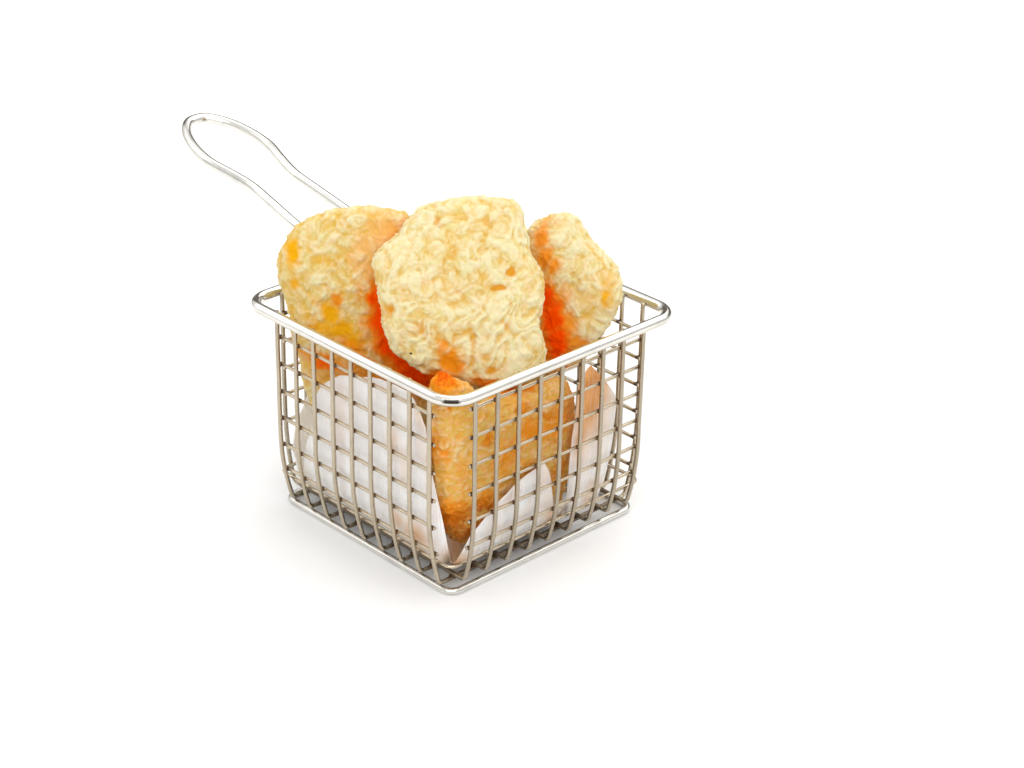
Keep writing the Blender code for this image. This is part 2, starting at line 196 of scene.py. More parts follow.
class Finish:
    """The nodes of one material or of the surroundings."""

    def __init__(self, name, holder=None):
        self.holder = holder or bpy.data.materials.new(name)
        self.holder.use_nodes = True
        self.tree = self.holder.node_tree
        self.shader = self.tree.nodes.get("Principled BSDF") or self.tree.nodes.get("Background")

    def add(self, kind, settings=None, values=None, output=0):
        """Adds a node: its settings first, then the values or links of its sockets."""
        node = self.tree.nodes.new(kind)
        for name, setting in (settings or {}).items():
            if name == "stops":
                ramp = node.color_ramp
                while len(ramp.elements) < len(setting):
                    ramp.elements.new(0.5)
                for stop, (position, colour) in zip(ramp.elements, setting):
                    stop.position = position
                    stop.color = (*colour, 1.0)
            else:
                setattr(node, name, setting)
        for name, value in (values or {}).items():
            self.feed(node.inputs[name], value)
        return Value(self, node.outputs[output])

    def feed(self, socket, value):
        """Links a value to a socket or sets it there."""
        if isinstance(value, Value):
            self.tree.links.new(value.socket, socket)
        elif socket.type == "RGBA" and not isinstance(value, float):
            socket.default_value = (*value, 1.0)
        else:
            socket.default_value = value

    def paint(self, **sockets):
        """Feeds sockets of the shader, named with underscores for spaces."""
        for name, value in sockets.items():
            self.feed(self.shader.inputs[name.replace("_", " ")], value)
        return self.holder

    def place(self):
        """Object coordinates, which are the part's own."""
        return self.add("ShaderNodeTexCoord", output="Object")

    def part(self, vector, axis):
        """One coordinate of a vector."""
        return self.add("ShaderNodeSeparateXYZ", None, {0: vector}, axis)

    def noise(self, where, size, detail=3.0, roughness=0.55, twist=0.0):
        """Soft noise whose lumps are about this size, from 0 to 1."""
        values = {"Vector": where, "Scale": 1 / size, "Detail": detail, "Roughness": roughness, "Distortion": twist}
        return self.add("ShaderNodeTexNoise", None, values)

    def rise(self, value, low, high):
        """0 below low, 1 above high and smooth between. High may be the lower one."""
        values = {"Value": value, "From Min": low, "From Max": high}
        return self.add("ShaderNodeMapRange", {"interpolation_type": "SMOOTHSTEP"}, values)

    def attribute(self, name):
        """A value that the mesh carries at its points."""
        return self.add("ShaderNodeAttribute", {"attribute_name": name}, None, "Fac")

    def mix(self, first, second, share):
        """A colour between two others."""
        values = {"Factor": share, 6: first, 7: second}
        return self.add("ShaderNodeMix", {"data_type": "RGBA"}, values, 2)

    def relief(self, height, depth, below=None):
        """A bumped normal. Depth is in metres for a height from 0 to 1."""
        values = {"Height": height, "Distance": depth, "Strength": 1.0}
        if below is not None:
            values["Normal"] = below
        return self.add("ShaderNodeBump", None, values)


def shade(colour, share):
    """A colour made darker or lighter."""
    return tuple(share * channel for channel in colour)


def clamp(value):
    """A value held between 0 and 1."""
    return min(1.0, max(0.0, value))


def object_from(name, mesh):
    """Makes an object of a bmesh, which is freed."""
    data = bpy.data.meshes.new(name)
    mesh.to_mesh(data)
    mesh.free()
    item = bpy.data.objects.new(name, data)
    bpy.context.scene.collection.objects.link(item)
    return item


def piece_from(name, mesh, material, nodes=(), sharp=None):
    """Makes the object of a piece that rides on the root and stands for CAD nodes."""
    piece = object_from(name, mesh)
    piece.data.materials.append(material)
    piece.data.shade_smooth()
    if sharp is not None:
        piece.data.set_sharp_from_angle(angle=sharp)
    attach(piece, "root")
    if nodes:
        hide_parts(*nodes)
    return piece


def tree_of(item):
    """A search tree of an object's mesh, which lies in the part's frame."""
    mesh = bmesh.new()
    mesh.from_mesh(item.data)
    tree = BVHTree.FromBMesh(mesh)
    mesh.free()
    return tree


# Spots of colour: how fast they fade, and the squared distance in radii at which they end
SPOT_FADE = 0.8
SPOT_END = 5


def spot_strength(spots, u, v):
    """How strong the strongest of some soft round spots is at a place."""
    strength = 0.0
    for across, up, wide, tall, weight in spots:
        far = ((u - across) / wide) ** 2 + ((v - up) / tall) ** 2
        if far < SPOT_END:
            strength = max(strength, weight * math.exp(-SPOT_FADE * far))
    return strength


# Wires: sides of a thin and of a heavy one, and the angle from which an edge is sharp, as at a cut end
THIN_SIDES = 12
HEAVY_SIDES = 28
SHARP = math.radians(50)
# The last rings at a cut end: how far each goes on in radii, and how much it narrows
WIRE_END = ((0.25, 0.86), (0.2, 0.6))
# A thin wire strays from its line over about this length
WIRE_WAVE = 14 * MM
# Steps along an upright's straight part, its bow and its turn under the basket, and along half a bar
WALL_STEPS = 7
BOW_STEPS = 6
TURN_STEPS = 6
BAR_STEPS = 8
# How far the wires stand out from their CAD solids, and how far a bar's ends stand in
UPRIGHTS_OUT = 0.15 * MM
BARS_OUT = 0.5 * MM
BAR_ENDS_IN = 1.3 * MM
# The uprights of the side walls (across) and of the front and back walls (along), painted darker than the bars as
# painted shade, the front and back ones most
UPRIGHT_SHADE = {"across": 0.86, "along": 0.70}


def bow(height):
    """How far the wall stands in from its upper plane at this height."""
    drop = max(0.0, BOW_START - height)
    return BOW_RADIUS - math.sqrt(BOW_RADIUS ** 2 - drop ** 2)


def arc(centre, radius, start, end, steps):
    """Points on an arc in a plane, angles in degrees."""
    angles = [math.radians(start + (end - start) * step / steps) for step in range(steps + 1)]
    return [(centre[0] + radius * math.cos(angle), centre[1] + radius * math.sin(angle)) for angle in angles]


def square_loop(half, corner, height, steps):
    """A rounded square round the basket at one height."""
    inner = half - corner
    points = []
    for x, y, start in ((inner, inner, 0), (-inner, inner, 90), (-inner, -inner, 180), (inner, -inner, 270)):
        points += [Vector((u, v + BASKET_Y, height)) for u, v in arc((x, y), corner, start, start + 90, steps)]
    return points


def stations(points, closed):
    """A frame at each point of a run, z along it, each turned as little as possible from the one before."""
    count = len(points)
    frames = []
    side = None
    for index, point in enumerate(points):
        before = points[index - 1] if index or closed else point
        after = points[(index + 1) % count] if index + 1 < count or closed else point
        along = (after - before).normalized()
        side = along.orthogonal() if side is None else side
        side = (side - along * side.dot(along)).normalized()
        frames.append(Matrix.Translation(point) @ Matrix((side, along.cross(side), along)).transposed().to_4x4())
    return frames


def push_ring(mesh, edges, matrix):
    """Extrudes a ring of edges and moves the new ring."""
    made = bmesh.ops.extrude_edge_only(mesh, edges=edges)["geom"]
    verts = [item for item in made if isinstance(item, bmesh.types.BMVert)]
    bmesh.ops.transform(mesh, matrix=matrix, verts=verts)
    return [item for item in made if isinstance(item, bmesh.types.BMEdge) and set(item.verts) <= set(verts)]


def draw_wire(mesh, points, thickness, sides, closed=False):
    """Adds a round wire along a run of points, its ends slightly rounded."""
    frames = stations(points, closed)
    radius = thickness / 2
    ring = bmesh.ops.create_circle(mesh, segments=sides, radius=radius, matrix=frames[0])["verts"]
    first = list({edge for vert in ring for edge in vert.link_edges})
    edges = first
    for before, after in zip(frames, frames[1:]):
        edges = push_ring(mesh, edges, after @ before.inverted())
    if closed:
        bmesh.ops.bridge_loops(mesh, edges=first + edges)
        return
    for end, station, way in ((first, frames[0], -1), (edges, frames[-1], 1)):
        for step, shrink in WIRE_END:
            onward = Matrix.Translation((0, 0, way * step * radius))
            move = onward @ Matrix.Diagonal((shrink, shrink, 1, 1))
            end = push_ring(mesh, end, station @ move @ station.inverted())
            station = station @ onward
        bmesh.ops.holes_fill(mesh, edges=end, sides=sides)


def wire_piece(name, mesh, material, nodes, sharp=SHARP):
    """Makes the object of a wire or of a group of wires."""
    bmesh.ops.recalc_face_normals(mesh, faces=mesh.faces[:])
    piece_from(name, mesh, material, nodes, sharp)


def stray(point, amount, seed):
    """A point moved a little, as hand-fed wire strays."""
    return point + amount * noise.noise_vector(point / WIRE_WAVE + Vector((seed, 0, 0)))


def upright_run(floor, wall_half, top):
    """A wire that runs down one wall, under the basket and up the other: distance out, height."""
    turn = math.asin((BOW_START - floor - TURN_RADIUS) / BOW_RADIUS)
    for _ in range(4):
        turn_height = floor + TURN_RADIUS * (1 - math.sin(turn))
        turn = math.asin((BOW_START - turn_height) / BOW_RADIUS)
    heights = [top + (BOW_START - top) * step / WALL_STEPS for step in range(WALL_STEPS + 1)]
    heights += [BOW_START + (turn_height - BOW_START) * step / BOW_STEPS for step in range(1, BOW_STEPS + 1)]
    half = [(wall_half - bow(height), height) for height in heights]
    centre = (half[-1][0] - TURN_RADIUS * math.cos(turn), floor + TURN_RADIUS)
    half += arc(centre, TURN_RADIUS, -math.degrees(turn), -90, TURN_STEPS)[1:]
    across = [(half[-1][0] * share, floor) for share in (0.75, 0.5, 0.25, 0)]
    left = [(-out, height) for out, height in half + across]
    return left + [(out, height) for out, height in reversed(half + across[:-1])]


# Steel: the sizes of its clouding and its grain, and the depth of the grain
CLOUD = 9 * MM
STEEL_GRAIN = 0.5 * MM
STEEL_GRAIN_DEPTH = 0.012 * MM
# Where the painted shade under the basket fades in, outwards from the middle and upwards from the floor
UNDER_SHADE_OUT = (41 * MM, 37 * MM)
UNDER_SHADE_UP = (10 * MM, 7 * MM)
# The burn beside a weld, heat tint and painted shade of the crossing: its reach along a bar, and how far the
# clouding moves its edge
WELD_BURN = 1.7 * MM
WELD_BURN_EDGE = 0.8 * MM
# Painted shade and painted reflection on the lower half of a ring, as shares of its colour
UNDERSIDE_SHADE = (0.5, 0.4, 0.24)
# A painted dark reflection on the rim at the near corner: half its width, and how far out it starts
REFLECTION_DASH_HALF = (4.8 * MM, 2.6 * MM)
REFLECTION_DASH_OUT = (43.5 * MM, 44.5 * MM)


def steel(name, settings, colour, polish, crossings=(), underside=None):
    """Polished steel, darkened to tarnish under the basket as painted shade, and burnt beside welds, partly as
    painted shade.

    A crossing is a row of welds: its axis, first place and step. The underside is the height of a ring's middle
    and its radius: the lower half gets painted shade and reflection, and its near corner a painted dark reflection.
    """
    finish = Finish(name)
    where = finish.place()
    cloud = finish.noise(where, CLOUD, 4.0)
    grain = finish.noise(where, STEEL_GRAIN, 2.0)
    skin = finish.mix(colour, shade(colour, 0.80), finish.rise(cloud, 0.45, 0.8))
    out = finish.part(where, 0).size().most((finish.part(where, 1) - BASKET_Y).size())
    # Painted shade: the wires under the basket darken towards the tarnish colour
    burnt = finish.rise(out, *UNDER_SHADE_OUT) * finish.rise(finish.part(where, 2), *UNDER_SHADE_UP) * 0.75
    # Beside each weld: heat tint, and painted shade where the crossing shades the bar
    for axis, first, step in crossings:
        along = (finish.part(where, axis) - first) / step
        apart = ((along + 0.5).fraction() - 0.5).size() * step
        burnt = burnt.most(finish.rise(apart + WELD_BURN_EDGE * cloud, WELD_BURN, 0.45 * WELD_BURN))
    if underside:
        # Painted shade and painted reflection on the rim's lower half
        middle, radius = underside
        below = (finish.part(where, 2) - middle) / radius
        painted_shade = tuple(share * channel for share, channel in zip(UNDERSIDE_SHADE, colour))
        skin = finish.mix(skin, painted_shade, finish.rise(below, 0.15, -0.95) * 0.8)
        # A painted dark reflection: a dark dash on the rim at the near corner, held in join
        across = (finish.part(where, 0) - finish.part(where, 1) + BASKET_Y).size()
        near = finish.part(where, 0) * -1.0
        join = finish.rise(across, *REFLECTION_DASH_HALF) * finish.rise((below - 0.3).size(), 0.50, 0.20)
        join = join * finish.rise(near, *REFLECTION_DASH_OUT)
    skin = finish.mix(skin, settings.tarnish, burnt * 0.85)
    # Lays the painted dark reflection on the rim's near corner
    if underside:
        skin = finish.mix(skin, shade(settings.tarnish, 0.3), join * 0.97)
    return finish.paint(Base_Color=skin, Metallic=1.0, Roughness=polish + 0.14 * cloud + 0.2 * burnt,
                        Normal=finish.relief(grain, STEEL_GRAIN_DEPTH))


class TEMPURA_OT_uprights(bpy.types.Operator):
    """Bends the thin wires that run down the walls and under the basket, both ways"""
    bl_idname = "tempura.uprights"
    bl_label = "Upright wires"

    def execute(self, context):
        settings = context.scene.tempura_basket
        wall_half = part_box("wire_across_1")[1].x - settings.upright_wire / 2 + UPRIGHTS_OUT
        for direction, painted_shade in UPRIGHT_SHADE.items():
            mesh = bmesh.new()
            names = [f"wire_{direction}_{index}" for index in WIRES]
            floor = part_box(names[0])[0].z + settings.upright_wire / 2
            run = upright_run(floor, wall_half, RIM_MIDDLE.z)
            for seed, name in enumerate(names):
                side = middle_of(name)
                if direction == "across":
                    points = [Vector((out, side.y, height)) for out, height in run]
                else:
                    points = [Vector((side.x, out + BASKET_Y, height)) for out, height in run]
                points = [stray(point, settings.wobble, seed * 3.3) for point in points]
                draw_wire(mesh, points, settings.upright_wire, THIN_SIDES)
            # Each set of uprights takes its own painted shade
            finish = steel(f"steel_upright_{direction}", settings, shade(settings.drawn, painted_shade), 0.20)
            wire_piece(f"uprights_{direction}", mesh, finish, names)
        return {"FINISHED"}


class TEMPURA_OT_bars(bpy.types.Operator):
    """Lays the level bars against the inside of the four walls"""
    bl_idname = "tempura.bars"
    bl_label = "Level bars"

    def execute(self, context):
        settings = context.scene.tempura_basket
        for wall in WALLS:
            mesh = bmesh.new()
            axis, centre = (1, BASKET_Y) if wall in ("left", "right") else (0, 0.0)
            along = Vector((1 - axis, axis, 0))
            names = [f"bar_{wall}_{row}" for row in ROWS]
            for seed, name in enumerate(names):
                low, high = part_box(name)
                middle = (low + high) / 2
                reach = (high - low).dot(along) / 2 - BAR_ENDS_IN
                out = (middle - RIM_MIDDLE) * Vector((1, 1, 0))
                out -= along * out.dot(along)
                middle += out.normalized() * BARS_OUT
                reaches = [reach * (step / BAR_STEPS - 1) for step in range(2 * BAR_STEPS + 1)]
                line = [middle + along * value for value in reaches]
                points = [stray(point, settings.wobble, seed * 5.1 + len(wall)) for point in line]
                draw_wire(mesh, points, settings.bar_wire, THIN_SIDES)
            finish = steel(f"steel_bar_{wall}", settings, settings.drawn, 0.17, ((axis, centre, PITCH),))
            wire_piece(f"bars_{wall}", mesh, finish, names)
        return {"FINISHED"}


# Spot welds: how far out from a bar's middle, and half their size through the wires, upwards and under the basket
WELD_OUT = 0.85 * MM
WELD_THROUGH = 0.6 * MM
WELD_UP = 0.75 * MM
WELD_UNDER = 0.7 * MM


class TEMPURA_OT_welds(bpy.types.Operator):
    """Puts a small flattened nugget at each welded crossing"""
    bl_idname = "tempura.welds"
    bl_label = "Spot welds"

    def execute(self, context):
        settings = context.scene.tempura_basket
        mesh = bmesh.new()
        spots = []
        for wall in WALLS:
            sign = 1 if wall in ("right", "back") else -1
            for row in ROWS:
                bar = middle_of(f"bar_{wall}_{row}")
                for index in WIRES:
                    if wall in ("left", "right"):
                        place = Vector((bar.x + sign * WELD_OUT, middle_of(f"wire_across_{index}").y, bar.z))
                        spots.append((place, "across"))
                    else:
                        place = Vector((middle_of(f"wire_along_{index}").x, bar.y + sign * WELD_OUT, bar.z))
                        spots.append((place, "along"))
        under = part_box("wire_across_1")[0].z + settings.upright_wire
        for across in WIRES:
            for along in WIRES:
                place = Vector((middle_of(f"wire_along_{along}").x, middle_of(f"wire_across_{across}").y, under))
                spots.append((place, "under"))
        for place, kind in spots:
            wide = settings.weld / 2 * (1 + 0.35 * noise.noise(place / (4 * MM)))
            half = {"along": (wide, WELD_THROUGH, WELD_UP), "across": (WELD_THROUGH, wide, WELD_UP),
                    "under": (wide, wide, WELD_UNDER)}[kind]
            matrix = Matrix.Translation(place) @ Matrix.Diagonal((*half, 1))
            bmesh.ops.create_uvsphere(mesh, u_segments=8, v_segments=6, radius=1.0, matrix=matrix)
        burnt = Finish("steel_weld")
        speck = burnt.noise(burnt.place(), 0.8 * MM, 3.0)
        colour = burnt.mix(settings.tarnish, shade(settings.tarnish, 2.2), speck)
        burnt.paint(Base_Color=colour, Metallic=1.0, Roughness=0.42 + 0.2 * speck,
                    Normal=burnt.relief(speck, 0.05 * MM))
        piece_from("welds", mesh, burnt.holder)
        return {"FINISHED"}


class TEMPURA_OT_rings(bpy.types.Operator):
    """Bends the heavy rim, the ring round the base and the foot"""
    bl_idname = "tempura.rings"
    bl_label = "Rim, base ring and foot"

    def execute(self, context):
        settings = context.scene.tempura_basket
        # Corner radius, height, thickness, sides, steps of a corner, polish and colour
        loops = {
            "rim": (8.0 * MM, RIM_MIDDLE.z, settings.rim_wire, HEAVY_SIDES, 14, 0.055, settings.steel),
            "base_ring": (3.0 * MM, middle_of("basket_base_ring").z, settings.bar_wire, THIN_SIDES, 8, 0.17,
                          settings.drawn),
            "foot": (4.0 * MM, settings.foot_wire / 2, settings.foot_wire, 18, 10, 0.15,
                     shade(settings.steel, 0.9))}
        for name, (corner, height, thickness, sides, steps, polish, colour) in loops.items():
            node = f"basket_{name}"
            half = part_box(node)[1].x - thickness / 2
            mesh = bmesh.new()
            draw_wire(mesh, square_loop(half, corner, height, steps), thickness, sides, True)
            underside = (height, thickness / 2) if name == "rim" else None
            finish = steel(f"steel_{name}", settings, colour, polish, underside=underside)
            wire_piece(name, mesh, finish, (node,), None)
        return {"FINISHED"}


# Handle: half its width at given distances from the middle of the basket, in millimetres, and its hook
HANDLE_OUTLINE = ((10.9, 60.0), (10.7, 72.0), (9.8, 86.0), (9.4, 97.0), (11.1, 107.0), (13.0, 116.0),
                  (12.2, 125.5), (9.4, 134.0), (4.6, 140.2), (0.0, 141.6))
HANDLE_SLOPE = math.radians(12.9)
HANDLE_OVER_RIM = 4.05 * MM
HANDLE_HOOK_RADIUS = 4.0 * MM
HANDLE_HOOK_OUT = 42.1 * MM
HANDLE_HOOK_END = 0.8 * MM


def smooth_run(points, steps):
    """Points along a smooth curve through the given ones."""
    padded = [2 * points[0] - points[1], *points, 2 * points[-1] - points[-2]]
    run = []
    for before, start, end, after in zip(padded, padded[1:], padded[2:], padded[3:]):
        for t in (step / steps for step in range(steps)):
            run.append(0.5 * (2 * start + (end - before) * t + (2 * before - 5 * start + 4 * end - after) * t ** 2
                              + (3 * start - before - 3 * end + after) * t ** 3))
    return [*run, points[-1]]


class TEMPURA_OT_handle(bpy.types.Operator):
    """Bends the looped handle that hooks over the rim"""
    bl_idname = "tempura.handle"
    bl_label = "Handle"

    def execute(self, context):
        settings = context.scene.tempura_basket
        rim_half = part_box("basket_rim")[1].x - settings.rim_wire / 2

        def level(out):
            over = RIM_MIDDLE.z + HANDLE_OVER_RIM / math.cos(HANDLE_SLOPE)
            return over + math.tan(HANDLE_SLOPE) * (out - rim_half)

        side = [Vector((half * MM, out * MM, level(out * MM))) for half, out in HANDLE_OUTLINE]
        far = [Vector((-point.x, point.y, point.z)) for point in reversed(side[:-1])]
        loop = smooth_run(side + far, 7)
        centre_out = HANDLE_HOOK_OUT + HANDLE_HOOK_RADIUS
        join = centre_out - HANDLE_HOOK_RADIUS * math.sin(HANDLE_SLOPE)
        centre_height = level(join) - HANDLE_HOOK_RADIUS * math.cos(HANDLE_SLOPE)
        turn = arc((centre_out, centre_height), HANDLE_HOOK_RADIUS, 180, 90 + math.degrees(HANDLE_SLOPE), 10)
        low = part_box("basket_handle")[0].z
        hook = [(HANDLE_HOOK_OUT, low + HANDLE_HOOK_END), *turn]
        half = side[0].x
        points = [Vector((half, out, height)) for out, height in hook] + loop
        points += [Vector((-half, out, height)) for out, height in reversed(hook)]
        points = [point + Vector((0, BASKET_Y, 0)) for point in points]
        mesh = bmesh.new()
        draw_wire(mesh, points, settings.rim_wire, HEAVY_SIDES)
        finish = steel("steel_handle", settings, settings.steel, 0.06)
        wire_piece("handle", mesh, finish, ("basket_handle",))
        return {"FINISHED"}


# Paper: bearing at the floor and at the edge in degrees, and the height of the edge in millimetres
PAPER_EDGE = ((0, 0, 44), (12, 12, 50), (24, 24, 40), (36, 36, 22), (48, 48, 34), (60, 60, 44), (72, 72, 47),
              (84, 84, 44), (96, 96, 42), (108, 108, 46), (120, 120, 43), (132, 132, 24), (143, 143, 14),
              (147, 146, 23), (151, 151, 35), (154, 153, 47), (158, 157, 53), (167, 166, 59), (174, 174, 61.5),
              (181, 181, 63), (188, 188, 64.5), (195, 195, 65.5), (203, 203, 66.3), (208, 208, 66),
              (211, 211, 64.5), (213.5, 213.5, 61), (216, 216, 57), (218.5, 217.5, 45), (221, 219.8, 36),
              (223, 222.2, 26), (225, 225, 8), (231, 231, 20), (238, 238, 26), (244, 244, 29.5),
              (250, 250, 32), (258, 258, 34), (265.5, 265.5, 35.5), (269, 268.5, 31), (271.5, 271.5, 21),
              (274.5, 274.5, 11), (278, 278, 10.5), (281.5, 280.5, 11), (284.5, 283.2, 58), (288.5, 289.5, 64),
              (292, 297.5, 57), (294.5, 304.5, 47), (297, 300, 12), (343, 343, 10.5), (347.5, 347.5, 14),
              (353, 353, 26), (360, 360, 44))
# Where the sheet stops short of the far corner: bearing and reach along the floor in millimetres
PAPER_SHORT = ((303, 35), (313, 33), (324, 34), (334, 37))
# Oily stains: bearing and height, reach round and up, strength
PAPER_STAINS = ((291, 54, 9, 16, 1.3), (287, 40, 5, 9, 1.0), (296, 14, 4, 6, 0.5), (275, 14, 7, 5, 0.8),
                (201, 46, 3, 5, 0.5), (206, 40, 3, 6, 0.35), (202, 18, 4, 4, 0.7), (211, 16, 6, 5, 0.8),
                (167, 42, 5, 14, 0.25), (226, 9, 5, 5, 0.9), (142, 15, 3, 4, 0.4))
# The sheet's form: height of its floor, half its width at the top of the walls, and the turn between them
PAPER_FLOOR = 6.6 * MM
PAPER_HALF = 43.9 * MM
PAPER_FILLET = 5.0 * MM
# 2 would be a round plan, and a higher number is squarer
PAPER_SQUARENESS = 9.0
# Folds, swells and crinkles: size round in degrees and upwards in millimetres, and a place in the noise
PAPER_WAVES = ((8.0, 40, 9.1), (14.0, 24, 3.1), (3.0, 9, 6.7))
# The waves grow over this height, and the sheet lifts off the wires under it by this much at most
PAPER_LEAN = 12 * MM
PAPER_LIFT = 0.9 * MM
PAPER_LIFT_SIZE = 11 * MM
PAPER_RIBS = 300
PAPER_CREASE = (0.80, 0.82, 0.72)
PAPER_RIB = (0.76, 0.73, 0.67)
# Oil: how near a slice it starts, how far a slice is looked for, and how far and how often its edge wanders
OIL_REACH = 4.5 * MM
OIL_SEARCH = 8 * MM
OIL_WANDER = 2.2 * MM
OIL_WAVE = 7 * MM


def paper_stretch(bearing):
    """How much further out the square plan of the sheet lies at a bearing than at the middle of a wall."""
    angle = math.radians(bearing)
    spread = abs(math.cos(angle)) ** PAPER_SQUARENESS + abs(math.sin(angle)) ** PAPER_SQUARENESS
    return spread ** (-1 / PAPER_SQUARENESS)


def paper_floor_reach(bearing):
    """How far the floor of the sheet runs at a bearing before it turns up."""
    return (PAPER_HALF - bow(PAPER_FLOOR) - PAPER_FILLET) * paper_stretch(bearing)


def paper_length(bearing, top):
    """How long the sheet is from its middle up to a height."""
    rise = top - PAPER_FLOOR
    if rise < PAPER_FILLET:
        return paper_floor_reach(bearing) + PAPER_FILLET * math.acos(1 - rise / PAPER_FILLET)
    return paper_floor_reach(bearing) + PAPER_FILLET * math.pi / 2 + rise - PAPER_FILLET


def paper_keys():
    """Bearing at the floor, bearing at the edge and length from the middle, all round."""
    keys = [(foot, tip, paper_length(foot, top * MM)) for foot, tip, top in PAPER_EDGE]
    keys += [(bearing, bearing, reach * MM) for bearing, reach in PAPER_SHORT]
    return sorted(keys)


def paper_place(bearing, tip, length, share, ripple):
    """A point of the sheet at a share of the way from its middle to its edge."""
    distance = length * share
    floor = paper_floor_reach(bearing)
    up = max(0.0, distance - floor)
    if length > floor:
        bearing += (tip - bearing) * up / (length - floor)
    turn = min(up / PAPER_FILLET, math.pi / 2)
    climb = max(0.0, up - PAPER_FILLET * math.pi / 2)
    height = PAPER_FLOOR + PAPER_FILLET * (1 - math.cos(turn)) + climb
    if up == 0:
        out = distance
    else:
        out = (PAPER_HALF - bow(height) - PAPER_FILLET * (1 - math.sin(turn))) * paper_stretch(bearing)
    angle = math.radians(bearing)
    ring = Vector((math.cos(angle), math.sin(angle), 0))
    if up > 0:
        fold, swell, crinkle = (noise.noise(Vector((bearing / wide, height / (tall * MM), seed)))
                                for wide, tall, seed in PAPER_WAVES)
        lean = min(1.0, up / PAPER_LEAN)
        inward = ripple * lean * max(0.0, 0.35 + 0.7 * swell + 0.45 * (1 - abs(fold) * 2) + 0.25 * crinkle)
        return ring * (out - inward) + Vector((0, BASKET_Y, height))
    lift = abs(noise.noise(Vector((ring.x * out, ring.y * out, 0)) / PAPER_LIFT_SIZE))
    return ring * out + Vector((0, BASKET_Y, height + PAPER_LIFT * lift))


def sheet_finish(settings):
    """Thin ribbed paper, crumpled a little and darker where it is oily."""
    finish = Finish("liner_paper")
    where = finish.place()
    around = finish.part(finish.add("ShaderNodeUVMap", {"uv_map": "sheet"}), 0)
    rib = finish.add("ShaderNodeMath", {"operation": "SINE"}, {0: around * (2 * math.pi * PAPER_RIBS)})
    fibre = finish.noise(where, 0.9 * MM, 4.0)
    crumple = finish.noise(where, 9 * MM, 3.0, 0.6, 0.6)
    oil = finish.attribute("oil")
    colour = finish.mix(settings.white, settings.oiled, oil)
    colour = finish.mix(colour, PAPER_CREASE, finish.rise(crumple, 0.55, 0.8) * 0.25)
    colour = finish.mix(colour, PAPER_RIB, finish.rise(rib, 0.3, 1.0) * 0.2)
    bump = finish.relief(rib * 0.5 + fibre, 0.09 * MM, finish.relief(crumple, 0.9 * MM))
    return finish.paint(Base_Color=colour, Roughness=0.55 - 0.15 * oil, Normal=bump, Subsurface_Weight=0.5,
                        Subsurface_Radius=(1.0, 0.85, 0.7), Subsurface_Scale=0.8 * MM)


def soak_with_oil(sheet):
    """Notes at each point how oily the sheet is: where a slice is near, and in its stains."""
    slices = [tree_of(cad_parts[name]) for name in SLICES]
    oil = sheet.data.attributes.new("oil", "FLOAT", "POINT")
    for vert in sheet.data.vertices:
        near = min(tree.find_nearest(vert.co, OIL_SEARCH)[3] or OIL_SEARCH for tree in slices)
        soak = noise.noise(vert.co / OIL_WAVE) * OIL_WANDER
        bearing = math.degrees(math.atan2(vert.co.y - BASKET_Y, vert.co.x)) % 360
        stain = spot_strength(PAPER_STAINS, bearing + soak / MM, (vert.co.z - soak) / MM)
        oil.data[vert.index].value = clamp(max(0.5 * (OIL_REACH - near - soak) / OIL_REACH, stain))


class TEMPURA_OT_paper(bpy.types.Operator):
    """Folds the paper liner into the basket"""
    bl_idname = "tempura.paper"
    bl_label = "Paper liner"

    def execute(self, context):
        settings = context.scene.tempura_paper
        keys = paper_keys()
        mesh = bmesh.new()
        mesh.loops.layers.uv.new("sheet")
        bmesh.ops.create_grid(mesh, x_segments=settings.columns, y_segments=settings.rows, size=0.5, calc_uvs=True)
        for vert in mesh.verts:
            bearing = (vert.co.x + 0.5) * 360
            share = vert.co.y + 0.5
            start, end = next(pair for pair in zip(keys, keys[1:]) if bearing <= pair[1][0])
            blend = (bearing - start[0]) / (end[0] - start[0])
            tip, length = (start[item] + (end[item] - start[item]) * blend for item in (1, 2))
            vert.co = paper_place(bearing, tip, length, share, settings.ripple)
        bmesh.ops.remove_doubles(mesh, verts=mesh.verts[:], dist=0.01 * MM)
        bmesh.ops.recalc_face_normals(mesh, faces=mesh.faces[:])
        piece = piece_from("paper", mesh, sheet_finish(settings), ("paper_liner",))
        soak_with_oil(piece)
        solid = piece.modifiers.new("thickness", "SOLIDIFY")
        solid.thickness = settings.thickness
        solid.offset = 0.0
        return {"FINISHED"}
